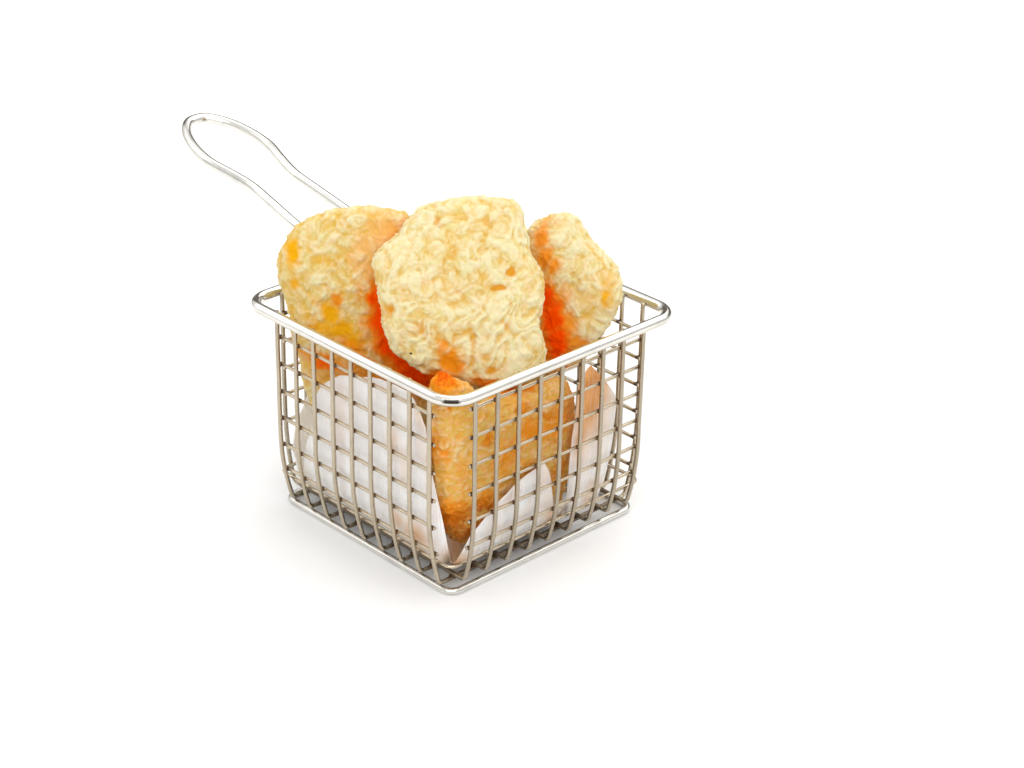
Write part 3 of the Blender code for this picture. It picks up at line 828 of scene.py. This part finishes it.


# Slices, each with
#   centre: its middle in millimetres, and facing and lean: the way its face looks, in degrees
#   seed: where its relief lies in the noise, and stretch: how much the relief is flattened upwards
#   strands: how many strands curl over it, and curls: where they are thickest and how far round, in millimetres
#   pale: how much of it is cream, grain: how flecked it is, and deep: how browned it is all over
#   glow: how strongly the red crevice shade is painted where another slice is near
#   spots: its colours in its own plane, in millimetres from its middle: across, up, radius across, radius up,
#   strength; the crevice shade spots are painted shade, and the amber spots beside them are painted shade as well
CRUSTS = {
    "tempura_middle": {
        "centre": (-11.96, -59.74, 86.67), "facing": -36, "lean": 25, "seed": 3.0, "strands": 0.8,
        "curls": (-8, -68, 73, 13), "stretch": 1.0, "pale": 0.62, "grain": 0.10, "deep": 0.0, "glow": 1.0,
        "spots": {
            "honey": ((15, 6.4, 1.4, 0.9, 1.6), (11.1, 1.5, 2.1, 0.9, 1.6), (-24, -3.6, 2.4, 1.8, 1),
                (-14.7, -10.8, 3.4, 2.8, 0.8), (-6.3, -15.8, 2.4, 2.4, 0.9), (-5.1, -20.7, 4.4, 3, 1.3),
                (-6.6, 22.4, 2.2, 2, 0.7), (8.6, 21.9, 2, 2, 0.6), (0.2, 2.6, 1.6, 1.2, 0.6),
                (7.1, -24.2, 2, 1.4, 1.2), (2.4, -16.1, 1.6, 1.4, 0.8), (12, -10, 2, 1.6, 0.6),
                (-6, -17, 9, 7, 0.62), (4, -18, 8, 8, 0.55), (0, 6, 14, 16, 0.32)),
            "amber": ((-5.6, -20.5, 3.2, 3, 1), (-7.4, -16.5, 1.8, 2.4, 0.8), (-4.6, -23.5, 4, 2, 1)),
            "ember": ((-9.1, -26.2, 7, 2.5, 0.7),),
            "char": ((-18, -18.1, 0.45, 0.4, 2),)}},
    "tempura_left": {
        "centre": (-22.7, -25.7, 73.15), "facing": -52, "lean": 5, "seed": 11.0, "strands": 0.5,
        "curls": (-26, -18, 80, 6), "stretch": 1.0, "pale": 0.47, "grain": 0.12, "deep": 0.0, "glow": 1.0,
        "spots": {
            "amber": ((-8.1, 4.8, 1.9, 2.8, 1.1), (-20.8, -7, 7, 2.5, 0.6), (-4, -11.4, 7, 3, 0.9),
                (-0.5, 8, 2.6, 8, 0.5), (1.5, -3.1, 3, 8, 0.7), (-15, -16, 8, 3, 0.9), (3, -21.9, 20, 8, 0.8)),
            "peach": ((6.2, 27.7, 6, 6, 0.9), (0.8, 23, 5, 5, 0.8), (-2.4, 18.5, 4, 3.5, 0.8),
                (3.1, 16, 4, 5, 0.9)),
            "yolk": ((-23.4, 18.3, 3.4, 5, 1), (-22.9, 7.9, 1.8, 2.6, 0.8), (-12.8, 18, 3, 2.4, 0.45),
                (-10.4, -0.6, 3.2, 4.5, 1), (-7.1, -6, 5, 4, 1.1), (-14.4, 3.6, 2.4, 2.6, 0.6),
                (-2.5, -9, 4, 4, 1), (-13, -6, 6, 4, 0.8), (-20, -3, 5, 3, 0.6)),
            "ember": ((4, 6, 2.6, 6.5, 1.15), (6, -1, 3.6, 7, 1.35), (9.5, -8.3, 5.2, 6, 1.3),
                (13.5, -13.2, 6.2, 5.5, 1.3), (17.5, -19, 8, 7, 1.3), (-12, -17.5, 6, 2.4, 0.9))}},
    "tempura_right": {
        "centre": (21.58, -64.41, 78.1), "facing": -60, "lean": 8, "seed": 19.0, "strands": 0.5,
        "curls": (28, -72, 88, 5), "stretch": 1.0, "pale": 0.62, "grain": 0.12, "deep": 0.0, "glow": 1.0,
        "spots": {
            "amber": ((-2.6, 20, 2.8, 4.5, 1), (-0.5, 14, 3, 4, 1), (3, 10.8, 2.6, 3.4, 0.9), (6.6, 1, 2.8, 6, 0.7),
                (8, -7.4, 4, 6, 0.85), (10.7, -13.6, 5, 3.6, 0.9), (15, -16.4, 5, 2, 0.7)),
            "peach": ((-1.9, 25.7, 3.5, 2.4, 0.7), (12, 2, 2.6, 4, 0.4)),
            "yolk": ((19.6, 2.4, 2.8, 4, 0.9), (20.6, 7.4, 2.4, 3.6, 0.6), (15, 0, 4, 7, 0.35),
                (14.5, 9, 2.6, 2.4, 0.3)),
            "ember": ((1.6, 0.6, 3, 5.5, 1.2), (3.2, -6.2, 3.8, 6.5, 1.3), (5.2, -14.3, 4.4, 7, 1.3)),
            "brown": ((0.6, 12.5, 2, 3, 0.4),)}},
    "tempura_front": {
        "centre": (-11.62, -78.46, 41.5), "facing": 0, "lean": -3, "seed": 27.0, "strands": 0.4,
        "curls": (-36, -80, 50, 6), "stretch": 1.7, "pale": 0.36, "grain": 0.60, "deep": 0.40, "glow": 0.8,
        "spots": {
            "amber": ((-23, -1.7, 5, 18, 0.5), (-6, 0.3, 9, 9, 0.8), (15, 4.3, 9, 9, 0.8), (-13, 10.3, 5, 4, 0.6),
                (3, -7.7, 8, 8, 0.6), (-30, 35, 10, 7, 1.3), (-21, 35, 9, 4, 1), (2.2, 13.8, 4.1, 1.8, 1),
                (11, 8.1, 5.2, 2.1, 1), (-14.6, 9.7, 3.3, 2.1, 1), (-30, 8, 4, 9, 0.8),
                (-26, -15, 8, 7, 1), (4.4, 6, 8, 6, 0.9), (-13, -13, 6, 5, 0.9), (19, -14, 5, 8, 0.7),
                (0, -22, 24, 6, 0.8)),
            "peach": ((-15, 25.3, 7, 2.4, 0.8), (-5, 21.1, 6, 4, 0.8), (5, 18.3, 7, 4, 0.9), (25, 2.3, 4, 12, 0.9)),
            "yolk": ((9, -17.7, 6, 5, 0.4),),
            "ember": ((-18, 31, 3, 1.8, 0.7), (-33, 37, 7, 4, 1.1), (-27, 34, 5, 3, 1),
                (-28.5, 24.6, 1.4, 2.2, 0.5), (11, 8.1, 4, 1.6, 0.35), (19, 6.3, 3, 3, 0.4)),
            # Brown on the front slice is partly painted shade: low down and at its top corner under the middle
            # slice
            "brown": ((-28.5, 34.5, 4.5, 3, 0.6), (-23.8, -18.7, 5.5, 6, 0.9), (-16.7, -14.7, 6, 3, 0.7),
                (-18, -24.7, 9, 5, 0.9), (17, -13.7, 7, 8, 0.5), (-28.5, 24.6, 1.4, 2.2, 0.5),
                (2.2, 13.8, 4.1, 1.8, 0.4), (11, 8.1, 5.2, 2.1, 0.4), (-14.6, 9.7, 3.3, 2.1, 0.4))}},
}
# Each colour of the spots in the order they are laid: its share, where it is full, and how far the ridges thin it
TINTS = {"honey": (0.95, 0.8, 0.5), "peach": (0.85, 0.9, 0.12), "yolk": (1.0, 0.9, 0.12),
         "amber": (0.95, 0.9, 0.12), "ember": (1.0, 1.15, 0.12), "brown": (0.9, 0.9, 0.12)}

# Relief: sizes of its forms in ridge spacings, with lumps the largest of the fine ones and swells behind them all
LUMP, HILL, BEAD, GRAIN, SWELL = 0.95, 0.62, 0.36, 0.15, 2.2
# Strands follow a soft field: its size in spacings, the distance between two, the way they run and how drawn out
STRAND_FIELD, STRAND_STEP = 1.7, 0.34
STRAND_WAY = Vector((0.35, -0.35, 0.87)).normalized()
STRAND_DRAWN = 0.55
# The height at which the skin of a slice lies on its solid
RELIEF_LEVEL = 0.45
# The eased copy of a slice: rounds of smoothing, and how far it is drawn back onto its solid
EASE_ROUNDS = 14
EASE_BACK = 0.6
# Spots are full on a slice's face down to the first depth behind its middle and end at the second
SPOTS_FULL = 4 * MM
SPOTS_GONE = 7 * MM
SPOTS_WANDER = 1.6 * MM
# How far another slice is looked for, and how near it paints the crust amber or red, as painted crevice shade
NEIGHBOUR_SEARCH = 12 * MM
CREVICE_AMBER_REACH = 10 * MM
CREVICE_SHADE_REACH = 6 * MM
# The painted crevice shade ends at this height and is full this much lower
CREVICE_SHADE_TOP = 90 * MM
CREVICE_SHADE_FADE = 8 * MM


def trough(value, width):
    """1 where a value is 0, falling off smoothly to both sides."""
    return math.exp(-(value / width) ** 2)


def batter_relief(place, spacing, crust):
    """Soft lumps of batter with strands curled over them: the whole height and its fine part."""
    seed, stretch = crust["seed"], crust["stretch"]
    where = Vector((place.x, place.y, place.z * stretch)) + Vector((seed, -seed, seed * 0.6)) * 10 * MM
    bent = where + 0.35 * spacing * noise.noise_vector(where / (1.1 * spacing))
    bent += 0.08 * spacing * noise.noise_vector(where / (0.35 * spacing))
    lump = 1 - trough(noise.noise(bent / (LUMP * spacing)), 0.20)
    hill = clamp(0.5 + 1.5 * noise.noise(bent / (HILL * spacing) + Vector((8.1, 3.3, 0.6))))
    bead = 1 - trough(noise.noise(bent / (BEAD * spacing) + Vector((5.2, 1.3, 8.8))), 0.24)
    flow = bent - STRAND_WAY * bent.dot(STRAND_WAY) * STRAND_DRAWN
    level = noise.noise(flow / (STRAND_FIELD * spacing) + Vector((1.9, 7.7, 1.2)))
    strand = (0.5 + 0.5 * math.cos(level * 2 * math.pi / STRAND_STEP)) ** 1.3
    curl = Vector(crust["curls"][:3]) * MM
    curled = 2.2 * math.exp(-((place - curl).length / (crust["curls"][3] * MM)) ** 2)
    strand *= max(curled, crust["strands"] * min(1.0, max(0.2, 0.5 + 1.6 * noise.noise(where / (1.9 * spacing)))))
    grain = noise.noise(bent / (GRAIN * spacing))
    fine = 0.19 * lump + 0.22 * hill + 0.18 * bead + 0.38 * strand + 0.06 * grain
    return fine + 0.42 * noise.noise(where / (SWELL * spacing)), fine


class TEMPURA_OT_slices(bpy.types.Operator):
    """Fries the four slices: a fine skin over each solid with lumps, strands and browned spots"""
    bl_idname = "tempura.slices"
    bl_label = "Battered slices"

    def execute(self, context):
        settings = context.scene.tempura_crust
        trees = {name: tree_of(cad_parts[name]) for name in SLICES}
        for name, crust in CRUSTS.items():
            others = [tree for other, tree in trees.items() if other != name]
            slice_piece(name, crust, settings, trees[name], others)
        return {"FINISHED"}


def fine_copy(node, voxel, form):
    """A merged and finely meshed copy of a CAD node, its facets eased but its form kept."""
    mesh = bmesh.new()
    mesh.from_mesh(node.data)
    bmesh.ops.remove_doubles(mesh, verts=mesh.verts[:], dist=0.001 * MM)
    rough = object_from("rough", mesh)
    remesh = rough.modifiers.new("fine", "REMESH")
    remesh.mode = "VOXEL"
    remesh.voxel_size = voxel
    smooth = rough.modifiers.new("ease", "SMOOTH")
    smooth.factor = 0.5
    smooth.iterations = EASE_ROUNDS
    bpy.context.view_layer.update()
    fine = bpy.data.meshes.new_from_object(rough.evaluated_get(bpy.context.evaluated_depsgraph_get()))
    bpy.data.objects.remove(rough)
    mesh = bmesh.new()
    mesh.from_mesh(fine)
    for vert in mesh.verts:
        vert.co += EASE_BACK * (form.find_nearest(vert.co)[0] - vert.co)
    return mesh


def slice_piece(name, crust, settings, form, neighbours):
    """One battered slice with its relief and its colour attributes."""
    mesh = fine_copy(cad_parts[name], settings.voxel, form)
    mesh.normal_update()
    facing, lean = math.radians(crust["facing"]), math.radians(crust["lean"])
    across = Vector((math.cos(facing), math.sin(facing), 0))
    out = Vector((math.sin(facing) * math.cos(lean), -math.cos(facing) * math.cos(lean), math.sin(lean)))
    up = out.cross(across)
    centre = Vector(crust["centre"]) * MM
    layers = {key: mesh.verts.layers.float.new(key) for key in ("ridge", "char", *TINTS)}
    moves = []
    for vert in mesh.verts:
        height, fine = batter_relief(vert.co, settings.spacing, crust)
        near = min(tree.find_nearest(vert.co, NEIGHBOUR_SEARCH)[3] or NEIGHBOUR_SEARCH for tree in neighbours)
        vert[layers["ridge"]] = clamp(fine * 1.3)
        wander = noise.noise_vector(vert.co / (4 * MM)) * SPOTS_WANDER
        local = vert.co - centre
        face = clamp((local.dot(out) + SPOTS_GONE) / (SPOTS_GONE - SPOTS_FULL))
        local = (local + wander) / MM
        for key in ("char", *TINTS):
            vert[layers[key]] = face * spot_strength(crust["spots"].get(key, ()), local.dot(across), local.dot(up))
        shift = settings.ridge * (height - RELIEF_LEVEL - 0.5 * min(1.0, vert[layers["honey"]]))
        # A ridge stays well short of halfway to the next slice
        moves.append(vert.normal * min(shift, 0.45 * near - 0.05 * MM))
        # Painted crevice shade: red where another slice is near, below the top
        depth = clamp((CREVICE_SHADE_TOP - vert.co.z) / CREVICE_SHADE_FADE)
        vert[layers["ember"]] = max(vert[layers["ember"]], crust["glow"] * depth * (1.1 - near / CREVICE_SHADE_REACH))
        # Painted shade: amber near another slice and round the red crevice shade, besides real browning
        vert[layers["amber"]] = max(vert[layers["amber"]], 1.6 * vert[layers["ember"]], 0.8 - near / CREVICE_AMBER_REACH,
                                    crust["deep"])
    for vert, move in zip(mesh.verts, moves):
        vert.co += move
    piece_from(name.replace("tempura_", "slice_"), mesh, batter(name, crust, settings), (name,))


def batter(name, crust, settings):
    """Fried batter: cream ridges over gold, browned and painted with crevice shade where the attributes say."""
    finish = Finish(name.replace("tempura_", "batter_"))
    where = finish.place()
    mottle = finish.noise(where, 6.5 * MM, 4.0, 0.6, 0.8)
    fleck = finish.noise(where, 1.3 * MM, 3.0, 0.6)
    fine = finish.noise(where, 0.45 * MM, 2.0)
    blotch = finish.noise(where, 3.2 * MM, 3.0, 0.6, 0.5)
    ridge = finish.attribute("ridge")
    uneven = 0.55 * (mottle - 0.5) + crust["grain"] * (finish.rise(fleck, 0.34, 0.66) - 0.5)
    pale = finish.rise(ridge + uneven, 0.55 - crust["pale"], 1.45 - crust["pale"])
    colour = finish.mix(settings.gold, settings.cream, pale)
    colour = finish.mix(colour, settings.olive, finish.rise(blotch, 0.52, 0.68) * 0.5)
    colour = finish.mix(colour, settings.blush, finish.rise(blotch, 0.46, 0.32) * 0.55)
    strength = {}
    for key, (share, full, thin) in TINTS.items():
        strength[key] = finish.rise(finish.attribute(key) + 0.6 * uneven - thin * ridge, full - 0.85, full)
        colour = finish.mix(colour, getattr(settings, key), strength[key] * share)
    colour = finish.mix(colour, settings.char, finish.rise(finish.attribute("char"), 0.4, 0.9))
    grain = finish.relief(fleck + 0.5 * fine, 0.16 * MM)
    dry = 1.0 - strength["ember"].most(strength["amber"])
    return finish.paint(Base_Color=colour, Roughness=0.45 + 0.25 * mottle, Normal=grain, Subsurface_Weight=0.2,
                        Subsurface_Radius=(1.0, 0.45, 0.15), Subsurface_Scale=1.0 * MM, Specular_IOR_Level=0.0,
                        Coat_Weight=0.18 * dry, Coat_Roughness=0.4)


# Camera: where it stands, which way it looks and rolls, and its lens in millimetres
CAMERA_PLACE = Vector((-440.775, -523.152, 373.283)) * MM
CAMERA_AZIMUTH = math.radians(-44.236)
CAMERA_ELEVATION = math.radians(26.737)
CAMERA_ROLL = math.radians(1.286)
CAMERA_LENS = 77.652
SENSOR_WIDTH = 36.0
FLOOR_HALF = 4.0
# Lights: place in metres, size, power as a share of the key light's, and colour
LIGHTS = {"key": ((0.55, -0.05, 1.0), 1.5, 1.0, (1.0, 0.98, 0.95)),
          "fill": ((-0.75, -0.75, 0.75), 1.3, 0.95, (1.0, 1.0, 1.0)),
          "rear": ((-0.35, 0.95, 0.7), 1.2, 0.35, (1.0, 1.0, 1.0))}
LIGHTS_AIM = Vector((0, -0.03, 0.05))
# The surroundings from the horizon upwards, and the dark that polished steel mirrors from them
SKY_STOPS = ((0.0, (0.62, 0.61, 0.60)), (0.10, (0.80, 0.79, 0.78)), (0.42, (1.0, 1.0, 1.0)),
             (1.0, (1.05, 1.05, 1.05)))
SKY_DARK = (0.10, 0.085, 0.07)


def add_floor(settings):
    """A wide plain floor."""
    mesh = bmesh.new()
    bmesh.ops.create_grid(mesh, x_segments=8, y_segments=8, size=FLOOR_HALF)
    finish = Finish("floor")
    haze = finish.noise(finish.place(), 0.6, 2.0)
    finish.paint(Base_Color=finish.mix(settings.floor, shade(settings.floor, 0.97), haze), Roughness=0.7)
    floor = object_from("floor", mesh)
    floor.data.materials.append(finish.holder)


def add_studio(scene, settings):
    """Pale surroundings with a dark band and a dark spot for the steel to mirror."""
    scene.world = bpy.data.worlds.new("studio")
    studio = Finish("studio", scene.world)
    towards = studio.add("ShaderNodeTexCoord", output="Generated")
    height = studio.part(towards, 2)
    away = studio.part(towards, 1) * 0.716 + studio.part(towards, 0) * 0.698
    glow = studio.add("ShaderNodeValToRGB", {"stops": SKY_STOPS}, {"Fac": height})
    band = studio.rise(height.size(), 0.66, 0.48) * studio.rise(away, 0.25, 0.7)
    spot = studio.rise(away, -0.78, -0.92) * studio.rise(height, 0.30, 0.16)
    studio.paint(Color=studio.mix(glow, SKY_DARK, band.most(spot) * 0.9), Strength=settings.sky)


def add_lights(scene, settings):
    """Large soft lights, all turned to the basket."""
    for name, (place, size, share, colour) in LIGHTS.items():
        lamp = bpy.data.lights.new(name, "AREA")
        lamp.size = size
        lamp.energy = settings.key * share
        lamp.color = colour
        item = bpy.data.objects.new(name, lamp)
        scene.collection.objects.link(item)
        turn = (LIGHTS_AIM - Vector(place)).to_track_quat("-Z", "Y").to_matrix().to_4x4()
        item.matrix_world = Matrix.Translation(place) @ turn


def add_camera(scene):
    """The camera at its place, turned round and up to the basket and rolled."""
    lens = bpy.data.cameras.new("camera")
    lens.lens = CAMERA_LENS
    lens.sensor_width = SENSOR_WIDTH
    lens.clip_start = 0.01
    camera = bpy.data.objects.new("camera", lens)
    scene.collection.objects.link(camera)
    camera.matrix_world = (Matrix.Translation(CAMERA_PLACE) @ Matrix.Rotation(CAMERA_AZIMUTH, 4, "Z")
                           @ Matrix.Rotation(math.pi / 2 - CAMERA_ELEVATION, 4, "X")
                           @ Matrix.Rotation(CAMERA_ROLL, 4, "Z"))
    scene.camera = camera


class TEMPURA_OT_stage(bpy.types.Operator):
    """Sets out the floor, the light and the camera"""
    bl_idname = "tempura.stage"
    bl_label = "Stage"

    def execute(self, context):
        scene = context.scene
        add_floor(scene.tempura_stage)
        add_studio(scene, scene.tempura_stage)
        add_lights(scene, scene.tempura_stage)
        add_camera(scene)
        scene.view_settings.view_transform = "Standard"
        return {"FINISHED"}


OPERATORS = (TEMPURA_OT_uprights, TEMPURA_OT_bars, TEMPURA_OT_welds, TEMPURA_OT_rings, TEMPURA_OT_handle,
             TEMPURA_OT_paper, TEMPURA_OT_slices, TEMPURA_OT_stage)


class TEMPURA_PT_panel(bpy.types.Panel):
    """The pieces and their settings"""
    bl_idname = "TEMPURA_PT_panel"
    bl_label = "Yam tempura"
    bl_space_type = "VIEW_3D"
    bl_region_type = "UI"
    bl_category = "Tempura"

    def draw(self, context):
        for attribute, group in SETTINGS:
            box = self.layout.box()
            for name in group.__annotations__:
                box.prop(getattr(context.scene, attribute), name)
        for operator in OPERATORS:
            self.layout.operator(operator.bl_idname)


def register():
    for attribute, group in SETTINGS:
        bpy.utils.register_class(group)
        setattr(bpy.types.Scene, attribute, PointerProperty(type=group))
    for kind in (*OPERATORS, TEMPURA_PT_panel):
        bpy.utils.register_class(kind)


def unregister():
    for kind in reversed((*OPERATORS, TEMPURA_PT_panel)):
        bpy.utils.unregister_class(kind)
    for attribute, group in reversed(SETTINGS):
        delattr(bpy.types.Scene, attribute)
        bpy.utils.unregister_class(group)


def main():
    """Builds every piece in order."""
    noise.seed_set(NOISE_SEED)
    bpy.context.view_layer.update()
    register()
    bpy.ops.tempura.uprights()
    bpy.ops.tempura.bars()
    bpy.ops.tempura.welds()
    bpy.ops.tempura.rings()
    bpy.ops.tempura.handle()
    bpy.ops.tempura.paper()
    bpy.ops.tempura.slices()
    bpy.ops.tempura.stage()


if __name__ == "__main__":
    main()
